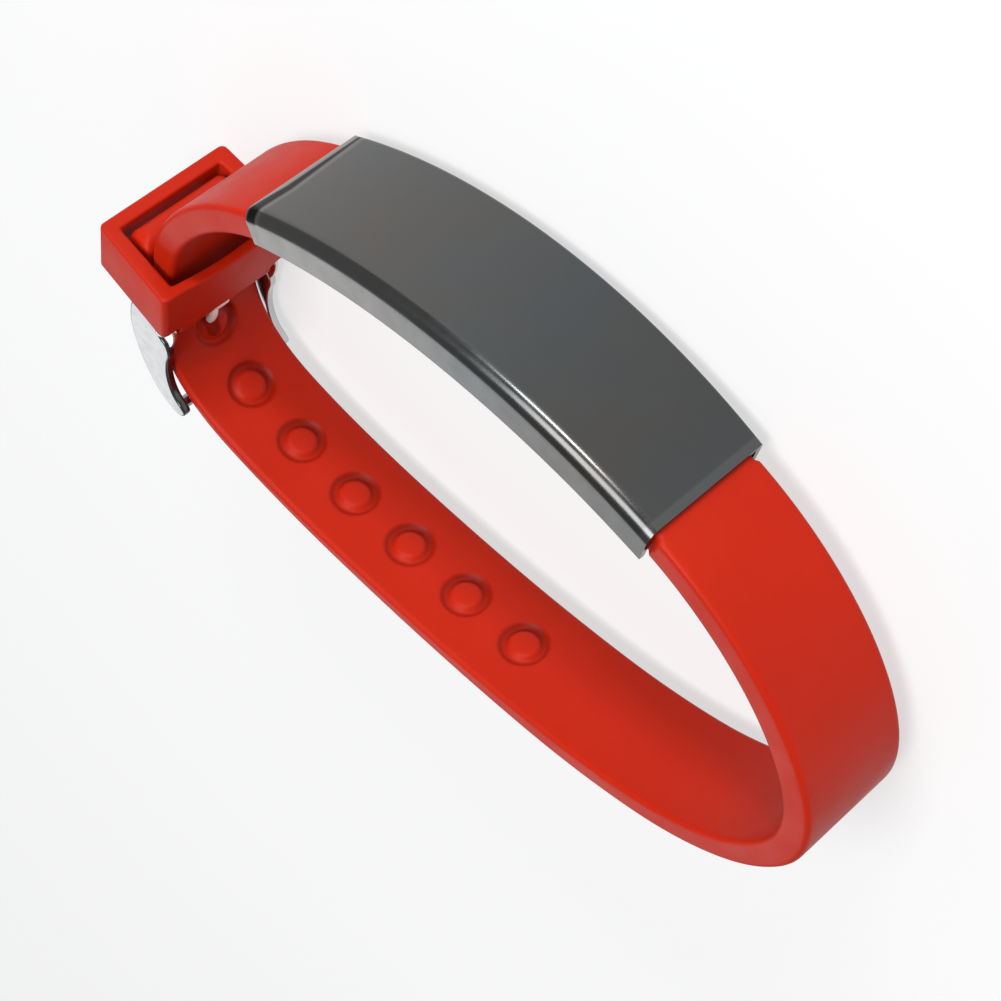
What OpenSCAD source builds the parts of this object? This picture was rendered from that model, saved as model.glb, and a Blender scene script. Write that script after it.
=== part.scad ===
// Silicone bracelet: one soft red band fastened into a wrist loop by a pin buckle,
// with a bare curved steel plate over its front and a loose keeper loop for the tail.
// The loop lies on its side edge: the loop is drawn in the XY plane and the band's
// width runs along Z. The plate faces -Y and the buckle end is at +X.

/* [Band] */
// Width of the silicone band, edge to edge
band_w = 11; // [9:0.5:16]
// Thickness of the band at the plate
band_t = 2.8; // [2:0.1:3.6]
// Width taken off each edge of the band where the plate hides it
waist = 0.25; // [0.1:0.05:0.6]
// Radius of the rolled end that holds the spring bar
end_roll_r = 1.2; // [1.1:0.05:2.2]

/* [Rings] */
// Number of moulded rings on the wrist side
ring_count = 7; // [4:1:12]
// Spacing of the rings along the band
ring_pitch = 7.5; // [5:0.1:10]
// Distance along the band from the middle of the plate to the fastened ring
ring_start = 138.8; // [120:0.1:145]
// Outer radius of a ring groove
ring_r = 2.3; // [1.6:0.1:3]
// Radius of the raised boss inside a ring groove
boss_r = 1.45; // [0.8:0.05:1.6]
// Depth of a ring groove
ring_depth = 0.4; // [0.2:0.05:0.7]

/* [Plate] */
// Straight distance between the two ends of the plate
plate_len = 44.5; // [30:0.5:55]
// Height of the plate's curve above that straight line
plate_rise = 4.7; // [2:0.1:8]
// Width of the plate at its ends
plate_w = 12.3; // [11.6:0.1:17]
// How far each long side swells outward at mid length
plate_swell = 0.35; // [0.1:0.05:1]
// Wall of the plate over the band at its two ends
plate_wall = 0.5; // [0.4:0.05:1.2]
// Depth of the folded sides at mid length
flange_h = 3.5; // [2.5:0.1:4.5]

/* [Keeper loop] */
// Length of the keeper loop across the band, on its outer side
keeper_len = 14.5; // [14:0.1:20]
// How much longer its upper end is on the wrist side
keeper_slant = 0.9; // [0:0.1:1.5]
// Size of the keeper loop from wrist side to outer side
keeper_across = 10; // [8:0.1:12]
// Size of the keeper loop along the band
keeper_depth = 6; // [3:0.1:7]
// Wall of the long bar on the wrist side
keeper_wall = 1.05; // [1:0.05:2]
// Wall of the long bar on the outer side
keeper_outer_wall = 1.45; // [1:0.05:2]
// Radius of the outer corners
keeper_corner_r = 0.6; // [0.5:0.1:1.8]
// Lean of the keeper loop, degrees
keeper_lean = 11; // [0:1:20]
// How far the bar on the wrist side bows outward
keeper_bow = 0.45; // [0.2:0.05:1]

/* [Buckle] */
// Thickness of the two side arms
arm_t = 0.85; // [0.5:0.05:1.2]
// Thickness of the arms' lugs around the spring bar
lug_t = 0.5; // [0.4:0.05:0.8]
// Radius of the spring bar
bar_r = 0.5; // [0.4:0.05:0.9]
// Radius of the domed bar ends
dome_r = 0.75; // [0.6:0.05:1]
// Radius of the cross bar on the outer side of the band
cross_r = 0.6; // [0.5:0.05:1.2]
// Half the thickness of the tongue's shank
tongue_r = 0.45; // [0.3:0.05:0.7]

/* [Hidden] */
$fn = 64;
gap = 0.3;
half = band_w / 2;
mid = 7.4;
e = 0.02;

// the drawing's own origin is the plate's buckle end; this moves the whole loop over the origin
place = [20.345, -19.115, mid];

// Stretches of the band's centre line, walked from the middle of the plate.
// Each row is [length, turn in degrees, thickness at its end].
plate_mid = [-plate_len / 2, -1.81];
tail_runs = [[22.3, 20.6, band_t], [4, 9, band_t], [10, 20, band_t], [6, 13.2, band_t],
    [5, 13.7, band_t], [5, 20.7, band_t], [5, 24.2, 2.7], [8, 23.2, 2.6],
    [10, 19.8, 2.5], [12, 11.7, 2.3], [13, 5.7, 1.95], [13, 4.4, 1.65],
    [11, 6.9, 1.4], [5, 6, 1.4], [5, 24, 1.4], [5.5, 38, 1.4],
    [5, 1.7, 1.5], [5, 0.3, 2.3], [1.9, -0.3, 3.3]];
buckle_runs = [[22.2, 21.6, band_t], [4, 9.6, band_t], [6, 13.6, band_t],
    [6, 13.2, band_t], [5, 15, band_t], [6, 20, 2.3], [2.9, 18, 1.5]];

// cuts every stretch into short chords of at most 1.5 mm and 3 degrees
function fine(runs) = [for (i = [0:len(runs) - 1])
    let (r = runs[i], n = ceil(max(r[0] / 1.5, abs(r[1]) / 3)),
         t0 = i == 0 ? band_t : runs[i - 1][2])
    for (k = [1:n]) [r[0] / n, r[1] / n, t0 + (r[2] - t0) * k / n]];

// stations [point, heading, thickness, distance]; side is 1 toward the tail, -1 toward the buckle
function walk(f, side) = [for (i = 0, p = plate_mid, a = 0, t = band_t, s = 0;
    i <= len(f);
    d = i < len(f) ? f[i] : [0, 0, t],
    p = p + d[0] * [-side * cos(a + d[1] / 2), sin(a + d[1] / 2)],
    a = a + d[1], t = d[2], s = s + d[0], i = i + 1) [p, a, t, s]];

function outward(q, side) = [-side * sin(q[1]), -cos(q[1])];
function face(path, side, k) = [for (q = path) q[0] + k * q[2] / 2 * outward(q, side)];
function back(v) = [for (i = [len(v) - 1:-1:0]) v[i]];
function rest(v) = [for (i = [1:len(v) - 1]) v[i]];

tail = walk(fine(tail_runs), 1);
buckle_end = walk(fine(buckle_runs), -1);
tip = tail[len(tail) - 1];
bar = buckle_end[len(buckle_end) - 1][0];

// place on the tail's centre line at distance s: x, y, heading, thickness
function at(s) = [lookup(s, [for (q = tail) [q[3], q[0][0]]]),
    lookup(s, [for (q = tail) [q[3], q[0][1]]]),
    lookup(s, [for (q = tail) [q[3], q[1]]]),
    lookup(s, [for (q = tail) [q[3], q[2]]])];

// a smooth closed outline through a few corner points
function blend(p0, p1, p2, p3, u) = 0.5 * (2 * p1 + (p2 - p0) * u
    + (2 * p0 - 5 * p1 + 4 * p2 - p3) * u * u + (3 * p1 - p0 - 3 * p2 + p3) * u * u * u);
function smooth(c, n) = let (m = len(c)) [for (i = [0:m - 1]) for (k = [0:n - 1])
    blend(c[(i + m - 1) % m], c[i], c[(i + 1) % m], c[(i + 2) % m], k / n)];

// side arm of the buckle seen along the bar: full at the top, tapering to the cross bar
arm_corners = [[13.6, 28.2], [14.4, 27.4], [15.0, 26.0], [15.9, 25.0], [17.2, 24.8],
    [18.2, 25.8], [18.7, 27.9], [18.7, 30.0], [18.4, 31.5], [17.9, 33.4], [17.0, 35.3],
    [15.9, 36.7], [14.8, 37.5], [13.7, 37.9], [12.8, 37.7], [12.4, 37.0], [12.8, 36.4],
    [13.4, 35.85], [13.9, 35.0], [14.2, 33.7], [14.2, 32.2], [13.9, 30.7], [13.45, 29.4]];
// thinner lug at the top of each arm, around the spring bar
lug_corners = [[13.5, 24.65], [12.8, 24.95], [12.5, 25.7], [12.55, 26.5], [12.8, 27.3],
    [13.25, 28.2], [14.0, 29.0], [15.0, 28.6], [15.3, 27.2], [14.95, 25.8], [14.35, 24.85]];
cross_at = [13.6, 37.1];
slot_s = 139.5;
keeper_at = [16.03, 20.6];
// the tongue, its curl and its slot sit this far off the middle of the band's width
tongue_z = 0.4;
tongue_line = [[14.1, 26.8], [14.15, 27.9], [14.3, 28.9], [14.75, 29.95], [15.5, 30.85],
    [16.4, 31.6], [17.1, 32.6], [17.3, 33.9], [16.9, 35.3], [16.1, 36.6], [15.3, 37.55],
    [14.6, 38.15]];

red = [0.83, 0.16, 0.1];
dark = [0.32, 0.34, 0.35];
bright = [0.82, 0.84, 0.86];

// centred slab along Z
module slab(h) { translate([0, 0, -h / 2]) linear_extrude(height = h) children(); }

// stands a tool on the band at distance s with its axis along the band's thickness
module on_band(s) {
    q = at(s);
    translate([q[0], q[1], 0]) rotate([0, 0, 90 - q[2]]) rotate([0, 90, 0]) children();
}

// half circle that rounds the tail's tip, from its outer face to its inner face
tip_arc = [for (k = [1:11]) let (w = tip[1] - 90 + k * 15)
    tip[0] + tip[2] / 2 * [-cos(w), sin(w)]];

module band_outline() {
    polygon(concat(back(face(buckle_end, -1, 1)), rest(face(tail, 1, 1)), tip_arc,
        back(face(tail, 1, -1)), rest(face(buckle_end, -1, -1))));
}

module ring_groove(s) {
    q = at(s);
    on_band(s) difference() {
        translate([0, 0, q[3] / 2 - ring_depth]) cylinder(r = ring_r, h = ring_depth + 1);
        translate([0, 0, q[3] / 2 - ring_depth - 1]) cylinder(r = boss_r, h = ring_depth + 3);
    }
}

// hole that the buckle's tongue passes through
module tongue_slot() {
    on_band(slot_s) {
        for (k = [-1, 1]) translate([-tongue_z, k * 1.0, -3]) cylinder(r = 0.78, h = 5);
        translate([-tongue_z - 0.78, -1.0, -3]) cube([1.56, 2.0, 5]);
    }
}

module band() {
    color(red) translate(place) difference() {
        union() {
            slab(band_w) band_outline();
            translate([bar[0], bar[1], -half]) cylinder(r = end_roll_r, h = band_w);
        }
        for (k = [0:ring_count - 1]) ring_groove(ring_start - k * ring_pitch);
        tongue_slot();
        translate([bar[0], bar[1], -half - 1]) cylinder(r = bar_r + 0.2, h = band_w + 2);
        // notch in the rolled end that leaves room for the tongue's curl
        translate([bar[0], bar[1], tongue_z - 1.05]) cylinder(r = 2.1, h = 2.1);
        // edges drawn in under the folded sides of the plate
        for (k = [-1, 1]) translate([-plate_len - 0.4, -8, k > 0 ? half - waist : -half - 1])
            cube([plate_len + 0.9, 14, waist + 1]);
    }
}

outer_r = (pow(plate_len / 2, 2) + pow(plate_rise, 2)) / (2 * plate_rise);
outer_y = outer_r - plate_rise;
inner_rise = plate_rise - 0.6;
inner_r = (pow(plate_len / 2, 2) + pow(inner_rise, 2)) / (2 * inner_rise);
inner_y = inner_r - inner_rise + plate_wall;
// the folded sides end on a circle and grow a little deeper toward the tail side
fold_y = 55.7;
fold_r = norm([plate_len / 2, fold_y]) - flange_h;
fold_shift = 0.5;
// lean of the end cut on the tail side, sideways per mm of depth
tail_cut = 0.22;

module disc(y, r, h) {
    translate([-plate_len / 2, y, -h / 2]) cylinder(r = r, h = h, $fn = 180);
}

// half the plate's width at x from its middle
function half_w(x) = plate_w / 2 + plate_swell * (1 - pow(2 * x / plate_len, 2));

// the plate seen from the front, with its slightly swollen long sides
module front_view() {
    xs = [for (k = [-12:12]) k * (plate_len + 2) / 24];
    polygon(concat([for (x = xs) [x, -half_w(x)]], back([for (x = xs) [x, half_w(x)]])));
}

module plate() {
    w = plate_w / 2 + plate_swell;
    color(dark) translate(place) intersection() {
        difference() {
            disc(outer_y, outer_r, 2 * w + 1);
            translate([fold_shift, 0, 0]) disc(fold_y, fold_r, 2 * w + 2);
            disc(inner_y, inner_r, band_w - 2 * waist + 2 * gap);
        }
        slab(2 * w + 1) polygon([[-plate_len / 2, fold_y],
            [-plate_len + tail_cut * fold_y, fold_y], [-plate_len - tail_cut * fold_y, -fold_y],
            [plate_len / 2, -fold_y]]);
        translate([-plate_len / 2, 20, 0]) rotate([90, 0, 0]) linear_extrude(height = 40)
            front_view();
    }
}

// points on a circle about [x, y] from angle w0 to angle w1
function arc(x, y, r, w0, w1) = [for (k = [0:6]) let (w = w0 + (w1 - w0) * k / 6)
    [x + r * cos(w), y + r * sin(w)]];

// rounded four-sided outline from x0 to x1 and from -y_up to y_low; its -x side bows outward
// over the length h and its -y side slants out by s toward that side
function loop_outline(x0, x1, y_low, y_up, s, r, h) = let (w = x1 - x0, t = atan(s / w))
    concat(arc(x1 - r, y_low - r, r, 0, 90), arc(x0 + r, y_low - r, r, 90, 180),
    [for (k = [7:-1:-7]) [x0 - keeper_bow * (1 - k * k / 64), h / 2 * k / 8]],
    arc(x0 + r, r / cos(t) - y_up - s + s * r / w, r, 180, 270 + t),
    arc(x1 - r, r / cos(t) - y_up - s * r / w, r, 270 + t, 360));

module keeper_loop() {
    open_len = band_w + 2 * gap;
    x1 = keeper_across / 2;
    color(red) translate(place) translate([keeper_at[0], keeper_at[1], 0])
        rotate([0, 0, -keeper_lean]) rotate([-90, 0, 0]) slab(keeper_depth) difference() {
            polygon(loop_outline(-x1, x1, mid, keeper_len - mid, keeper_slant,
                keeper_corner_r, open_len));
            polygon(loop_outline(keeper_wall - x1, x1 - keeper_outer_wall, open_len / 2,
                open_len / 2, keeper_slant / 2, 0.3, open_len - 0.9));
        }
}

module buckle_frame() {
    z0 = half + 0.25;
    color(bright) translate(place) difference() {
        union() {
            for (k = [-1, 1]) {
                translate([0, 0, k > 0 ? z0 : -z0 - arm_t]) linear_extrude(height = arm_t)
                    polygon(smooth(arm_corners, 4));
                translate([0, 0, k > 0 ? z0 + 0.1 : -z0 - 0.1 - lug_t])
                    linear_extrude(height = lug_t) polygon(smooth(lug_corners, 4));
            }
            translate([cross_at[0], cross_at[1], -z0 - e]) cylinder(r = cross_r, h = 2 * z0 + 2 * e);
        }
        translate([bar[0], bar[1], -mid]) cylinder(r = bar_r + 0.2, h = 2 * mid);
    }
}

// flat strip of width 2r along a line of points, with a round far end
module strip(c, r) {
    n = len(c);
    side = [for (i = [0:n - 1]) let (d = c[min(i + 1, n - 1)] - c[max(i - 1, 0)])
        [-d[1], d[0]] * r / norm(d)];
    polygon(concat([for (i = [0:n - 1]) c[i] + side[i]], back([for (i = [0:n - 1]) c[i] - side[i]])));
    translate(c[n - 1]) circle(r = r, $fn = 32);
}

module buckle_tongue() {
    color(bright) translate(place) translate([0, 0, tongue_z]) {
        difference() {
            translate([bar[0], bar[1], -0.7]) cylinder(r = bar_r + 0.88, h = 1.4);
            translate([bar[0], bar[1], -2]) cylinder(r = bar_r + 0.25, h = 4);
        }
        slab(2 * tongue_r) strip(tongue_line, tongue_r);
    }
}

module spring_bar() {
    z1 = half + 0.35 + lug_t;
    color(bright) translate(place) translate([bar[0], bar[1], 0]) {
        translate([0, 0, -z1 - 0.3]) cylinder(r = bar_r, h = 2 * z1 + 0.6);
        for (k = [-1, 1]) intersection() {
            translate([0, 0, k * (z1 + 0.15)]) sphere(r = dome_r);
            translate([-1, -1, k > 0 ? z1 + 0.15 : -z1 - 1.15]) cube([2, 2, 1]);
        }
    }
}

band();
plate();
keeper_loop();
buckle_frame();
buckle_tongue();
spring_bar();
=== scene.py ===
# %% [markdown]
# # A silicone bracelet with a metal plate
#
# This lesson dresses a finished CAD frame of a soft red bracelet. The bracelet lies on its
# side: the loop is drawn in the XY plane and the band's width stands up along Z. The hard
# sizes are settled by the frame, so each piece below is a surface worked out with numpy in
# the same place as the CAD node it stands for, with the softer edges, moulded rings and
# finishes that the real bracelet shows.

import math

import bpy
import numpy as np
from mathutils import Matrix, Vector


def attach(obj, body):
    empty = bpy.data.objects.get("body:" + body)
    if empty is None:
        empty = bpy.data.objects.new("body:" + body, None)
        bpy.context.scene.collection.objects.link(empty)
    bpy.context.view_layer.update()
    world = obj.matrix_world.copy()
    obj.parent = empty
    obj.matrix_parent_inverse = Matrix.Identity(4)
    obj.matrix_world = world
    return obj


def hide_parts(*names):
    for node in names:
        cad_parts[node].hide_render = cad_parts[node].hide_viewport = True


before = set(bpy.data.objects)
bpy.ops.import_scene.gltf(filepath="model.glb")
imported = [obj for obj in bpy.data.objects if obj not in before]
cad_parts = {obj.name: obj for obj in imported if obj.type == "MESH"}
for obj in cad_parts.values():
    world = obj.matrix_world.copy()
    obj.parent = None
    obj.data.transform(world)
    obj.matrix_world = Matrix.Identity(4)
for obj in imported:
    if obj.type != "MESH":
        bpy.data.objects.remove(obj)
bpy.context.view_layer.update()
print("CAD nodes:", sorted(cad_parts))

# %% [markdown]
# ## Camera first
#
# The picture was taken from quite near, about two hand widths away, which is why the far
# end of the loop looks so much smaller. The camera looks down at about 25 degrees and is
# rolled far over, so the level band runs from the top left to the bottom right.

# %% Camera
CAMERA_PLACE = Vector((-0.087065, -0.15945, 0.09121))
CAMERA_AIM = Vector((-0.002815, 0.00310, 0.00740))
CAMERA_ROLL = math.radians(128.38)
FOCAL_PIXELS, FRAME_PIXELS, SENSOR_MM = 2400, 1001, 36.0


def aim_matrix(place, aim, roll=0.0):
    """Turns a camera or lamp at place to look at aim: its back is the line from aim to
    place, its right is level, and both are then rolled about the line of sight."""
    ahead = (aim - place).normalized()
    level_right = ahead.cross(Vector((0, 0, 1))).normalized()
    level_up = level_right.cross(ahead)
    up = math.cos(roll) * level_up + math.sin(roll) * level_right
    right = ahead.cross(up)
    return Matrix.Translation(place) @ Matrix((right, up, -ahead)).transposed().to_4x4()


lens = bpy.data.cameras.new("camera")
lens.sensor_width = SENSOR_MM
lens.lens = FOCAL_PIXELS / FRAME_PIXELS * SENSOR_MM
lens.clip_start, lens.clip_end = 0.005, 50.0
camera = bpy.data.objects.new("camera", lens)
camera.matrix_world = aim_matrix(CAMERA_PLACE, CAMERA_AIM, CAMERA_ROLL)
bpy.context.scene.collection.objects.link(camera)
bpy.context.scene.camera = camera
print("lens", round(lens.lens, 1), "mm")

# %% [markdown]
# ## From arrays to meshes
#
# Every piece is made of sheets. A sheet is a grid of points, and its faces are the little
# quads between neighbours. Sheets that share a border are welded by place, which also
# closes the poles, where a whole row of points meets in one.

# %% Sheets and welding
MM = 0.001


def quads(rows, cols, close_rows=False, close_cols=False):
    """Corner numbers of the quads of a rows by cols grid. The order goes across a row
    first, so a face points along (across the row) x (to the next row)."""
    i, j = np.meshgrid(
        np.arange(rows if close_rows else rows - 1),
        np.arange(cols if close_cols else cols - 1),
        indexing="ij",
    )
    i2, j2 = (i + 1) % rows, (j + 1) % cols
    return np.stack([i * cols + j, i * cols + j2, i2 * cols + j2, i2 * cols + j], -1)


def weld(points, faces):
    """Points that round to the same ten-thousandth of a millimetre become one. A quad that
    lost one corner is kept as a triangle, and one that lost more is dropped."""
    _, first, to = np.unique(
        np.round(points * 1e4).astype(np.int64),
        axis=0,
        return_index=True,
        return_inverse=True,
    )
    faces = to.ravel()[faces]
    same = faces == np.roll(faces, -1, axis=1)
    lost = same.sum(1)
    triangles = faces[lost == 1][~same[lost == 1]].reshape(-1, 3)
    crossed = (faces[:, 0] == faces[:, 2]) | (faces[:, 1] == faces[:, 3])
    whole = faces[(lost == 0) & ~crossed]
    used = np.zeros(len(first), bool)
    used[whole] = True
    used[triangles] = True
    number = np.cumsum(used) - 1
    return points[first][used], number[whole], number[triangles]


def make_piece(name, sheets, sharp=40.0):
    """Welds (points in mm, faces) sheets into one smooth-shaded object. Edges that bend by
    more than sharp degrees stay crisp."""
    points, faces, start = [], [], 0
    for sheet, cells in sheets:
        flat = np.asarray(sheet, float).reshape(-1, 3)
        points.append(flat)
        faces.append(np.asarray(cells).reshape(-1, 4) + start)
        start += len(flat)
    spots, whole, triangles = weld(np.concatenate(points), np.concatenate(faces))
    mesh = bpy.data.meshes.new(name)
    mesh.from_pydata((spots * MM).tolist(), [], whole.tolist() + triangles.tolist())
    mesh.validate()
    mesh.shade_smooth()
    mesh.set_sharp_from_angle(angle=math.radians(sharp))
    piece = bpy.data.objects.new(name, mesh)
    bpy.context.scene.collection.objects.link(piece)
    return piece


def report(piece):
    """Prints the faces, the edges at fault and the volume. On a closed skin each edge is
    walked once one way and once the other. The volume is the sum of a . (b x c) / 6 over
    all triangles, and it is positive when they face outward."""
    mesh = piece.data
    edge, corner = np.zeros(len(mesh.loops), np.int64), np.zeros(len(mesh.loops), np.int64)
    ends = np.zeros(2 * len(mesh.edges), np.int64)
    mesh.loops.foreach_get("edge_index", edge)
    mesh.loops.foreach_get("vertex_index", corner)
    mesh.edges.foreach_get("vertices", ends)
    forward = corner == ends[::2][edge]
    walked = [np.bincount(edge[way], minlength=len(mesh.edges)) for way in (forward, ~forward)]
    faulty = int(((walked[0] != 1) | (walked[1] != 1)).sum())
    mesh.calc_loop_triangles()
    spots = np.zeros(3 * len(mesh.vertices))
    threes = np.zeros(3 * len(mesh.loop_triangles), int)
    mesh.vertices.foreach_get("co", spots)
    mesh.loop_triangles.foreach_get("vertices", threes)
    a, b, c = (spots.reshape(-1, 3)[threes[k::3]] / MM for k in range(3))
    volume = np.einsum("ij,ij->i", a, np.cross(b, c)).sum() / 6
    print(f"{piece.name}: {len(mesh.polygons)} faces, {faulty} faulty edges, {volume:.1f} mm3")


def combine(piece, tool, how):
    """Joins a tool to a piece (UNION) or cuts it away (DIFFERENCE), and drops the tool."""
    cut = piece.modifiers.new("combine", "BOOLEAN")
    cut.operation, cut.object, cut.solver = how, tool, "MANIFOLD"
    bpy.context.view_layer.update()
    result = piece.evaluated_get(bpy.context.evaluated_depsgraph_get())
    piece.data = bpy.data.meshes.new_from_object(result)
    piece.modifiers.clear()
    bpy.data.objects.remove(tool)


# %% [markdown]
# ## The line the band follows
#
# Silicone bends in soft arcs. The band's middle line is written as a short list of
# stretches, each with its length and how far it turns, from the bar in the buckle round
# to the tip of the tail. Turning is then shared out smoothly, because a sudden change in
# the bend shows as a kink in the gloss.

# %% Centre line
PLACE = np.array([20.345, -19.115, 7.4])  # moves the drawing to the frame's origin
HALF_WIDTH = 5.5
PLATE_LENGTH = 44.5
# length mm, turn degrees, thickness mm at the far end of the stretch
STRETCHES = np.array(
    [
        [2.9, 18, 2.3], [6, 20, 2.8], [5, 15, 2.8], [6, 13.2, 2.8], [6, 13.6, 2.8],
        [4, 9.6, 2.8], [22.2, 21.6, 2.8], [22.3, 20.6, 2.8], [4, 9, 2.8], [10, 20, 2.8],
        [6, 13.2, 2.8], [5, 13.7, 2.8], [5, 20.7, 2.8], [5, 24.2, 2.7], [8, 23.2, 2.6],
        [10, 19.8, 2.46], [12, 11.7, 2.25], [13, 5.7, 1.86], [13, 4.4, 1.60], [11, 6.9, 1.4],
        [5, 6, 1.4], [5, 24, 1.4], [5.5, 38, 1.4], [5, 1.7, 1.5], [5, 0.3, 2.3],
        [1.9, -0.3, 3.3],
    ]
)  # fmt: skip
AT_PLATE = 7  # the plate's middle is where the seventh stretch ends
START_THICK = 1.5
FINE_POINTS = 8229  # about 40 points to the millimetre
knots = np.concatenate([[0], np.cumsum(STRETCHES[:, 0])])
knots -= knots[AT_PLATE]
START, TIP = knots[0], knots[-1]
fine = np.linspace(START, TIP, FINE_POINTS)
step = fine[1] - fine[0]


def softened(values, reach):
    """Running average with a bell of the given reach in mm; the ends are mirrored."""
    half = int(reach / step)
    bell = np.hanning(2 * half + 3)[1:-1]
    padded = np.pad(values, half, mode="reflect")
    return np.convolve(padded, bell / bell.sum(), mode="valid")


turn_rate = STRETCHES[:, 1] / STRETCHES[:, 0]
stretch = np.clip(np.searchsorted(knots, fine) - 1, 0, len(STRETCHES) - 1)
rate = softened(turn_rate[stretch], 2.2)
heading = np.radians(np.cumsum(rate) * step)
heading -= np.interp(0.0, fine, heading)
thick = softened(np.interp(fine, knots, np.r_[START_THICK, STRETCHES[:, 2]]), 1.5)
line_x = np.cumsum(-np.cos(heading)) * step
line_y = np.cumsum(np.sin(heading)) * step
line_x += -PLATE_LENGTH / 2 - np.interp(0.0, fine, line_x)
line_y += -1.81 - np.interp(0.0, fine, line_y)
BAR = (line_x[0], line_y[0])
print("band line", round(TIP - START, 1), "mm, bar at", np.round(BAR, 2))


def on_band(s, out, z):
    """Place on the band: s along its middle line, out from it toward the outer face, and z
    across. The outward direction is the heading turned by a right angle."""
    a = np.interp(s, fine, heading)
    x = np.interp(s, fine, line_x) - out * np.sin(a)
    y = np.interp(s, fine, line_y) - out * np.cos(a)
    x, y, z = np.broadcast_arrays(x, y, z)
    return np.stack([x, y, z], -1) + PLACE


def thickness(s):
    """Thickness of the band in mm at s, read off between the fine points."""
    return np.interp(s, fine, thick)


# %% [markdown]
# ## The band
#
# The real band is moulded in one go: a flat strap with rounded edges, a row of shallow
# rings pressed into the wrist side, a rolled end for the spring bar and a free tail with
# soft corners. Here a rounded-rectangle section is carried along the line. Wherever a ring
# sits, a square of the wrist face is left out and a patch goes in, whose rows change
# from the square to the ring's circles, so each groove has a clean round wall.

# %% Stations along the band
RINGS = 138.8 - 7.5 * np.arange(7)
PATCH = 2.75  # half the side of the square that a ring's patch fills
PATCH_STEPS = 24
EDGE_R = 0.5
UNDER_PLATE = np.array([22.4, 22.7])  # the width changes between these, each way


def stations():
    """Distances along the line: even steps, and 24 steps in each ring's square."""
    marks = np.unique(
        np.r_[START, -UNDER_PLATE, UNDER_PLATE, RINGS - PATCH, RINGS + PATCH, TIP]
    )
    rows = []
    for a, b in zip(marks[:-1], marks[1:], strict=True):
        ring = np.any(np.abs((a + b) / 2 - RINGS) < 0.01)
        n = PATCH_STEPS if ring else max(2, math.ceil((b - a) / 0.6))
        rows.append(np.linspace(a, b, n + 1)[:-1])
    return np.concatenate([*rows, [TIP]])


def half_width(s):
    """5.5 mm, drawn in a little under the plate."""
    return HALF_WIDTH - 0.25 * np.clip((UNDER_PLATE[1] - np.abs(s)) / 0.3, 0, 1)


def section(s):
    """Rounded-rectangle section at each s, as (out, z) arrays of 100 columns: outer face,
    edge, wrist face, edge, with six steps round each corner."""
    h = thickness(s)[:, None] / 2
    w = half_width(s)[:, None]
    r = np.minimum(EDGE_R, 0.8 * h)
    side = np.linspace(0, 1, 6)[:-1]
    mid = np.linspace(-PATCH, PATCH, PATCH_STEPS + 1)
    flat = np.concatenate(
        [-(w - r) + (w - r - PATCH) * side, np.broadcast_to(mid, (len(s), len(mid))),
         PATCH + (w - r - PATCH) * (side + 0.2)], 1)  # fmt: skip
    turn = np.linspace(0, np.pi / 2, 7)[1:-1]
    across = np.linspace(1, -1, 5)
    corner_out = h - r + r * np.cos(turn)
    corner_z = w - r + r * np.sin(turn)
    edge_out = (h - r) * across
    edge_z = np.broadcast_to(w, edge_out.shape)
    out = np.concatenate(
        [np.broadcast_to(h, flat.shape), corner_out, edge_out, -corner_out[:, ::-1]], 1)
    z = np.concatenate([flat, corner_z, edge_z, corner_z[:, ::-1]], 1)
    return np.concatenate([out, -out], 1), np.concatenate([z, -z], 1)


# %% The strap's skin
rows = stations()
out, z = section(rows)
COLS = out.shape[1]
skin = on_band(rows[:, None], out, z)
cells = quads(len(rows), COLS, close_cols=True)
on_outer = (out[0] > 0) & (np.abs(out[0] - out[0].max()) < 1e-9)
mid_z = (z[0] + np.roll(z[0], -1)) / 2
mid_s = (rows[:-1] + rows[1:]) / 2
in_square = np.abs(mid_z) < PATCH
near_ring = np.abs(mid_s[:, None] - RINGS).min(1) < PATCH
wrist_face = np.roll(on_outer, COLS // 2)
left_out = near_ring[:, None] & (in_square & wrist_face)
strap = (skin, cells[~left_out])
print("strap", skin.shape[:2], "squares left out", int(left_out.sum()))

# %% [markdown]
# Both ends of the strap are closed by turning half of the end section about the line
# through its middle, as a lathe would. At the free tip the corners are rounded as well: the
# further forward a point lies, the more its z is drawn in.

# %% Rounded ends
TIP_CORNER = 1.3
HALF = np.r_[np.arange(COLS - 8, COLS), np.arange(0, COLS // 2 - 7)]


def lathe_end(s, toward):
    """Half-turn cap at s. A point at distance out from the middle goes to
    (out cos t, out sin t) for t from 0 to 180 degrees, toward +1 (tip) or -1 (start). Over
    the last corner mm, z shrinks as a quarter circle of that radius does."""
    o, zz = out[0 if toward < 0 else -1][HALF], z[0 if toward < 0 else -1][HALF]
    t = np.linspace(0, np.pi, 17)[:, None]
    a = np.interp(s, fine, heading)
    past = np.clip(o * np.sin(t) - (thickness(s) / 2 - TIP_CORNER), 0, TIP_CORNER)
    drawn_in = TIP_CORNER - np.sqrt(TIP_CORNER**2 - past**2)
    zz = zz * (1 - drawn_in / HALF_WIDTH * (toward > 0))
    base = on_band(s, o * np.cos(t), zz)
    ahead = np.array([-np.cos(a), np.sin(a), 0]) * toward
    sheet = base + (o * np.sin(t))[..., None] * ahead
    face = quads(len(t), len(HALF))
    return sheet, face if toward > 0 else face[..., ::-1]


# the middle of each edge is the pole, so HALF runs from one edge's middle to the other's
print("half section from", out[0][HALF[0]], "to", out[0][HALF[-1]])

# %% [markdown]
# ### Ring patches
#
# Round a ring the wrist face first stays level, drops in a soft curve to a flat-bottomed
# groove 0.4 mm deep, and climbs again to the round boss in the middle. The patch is a set
# of rows of 96 points: the square's own border, then circles that close on the centre.

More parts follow.
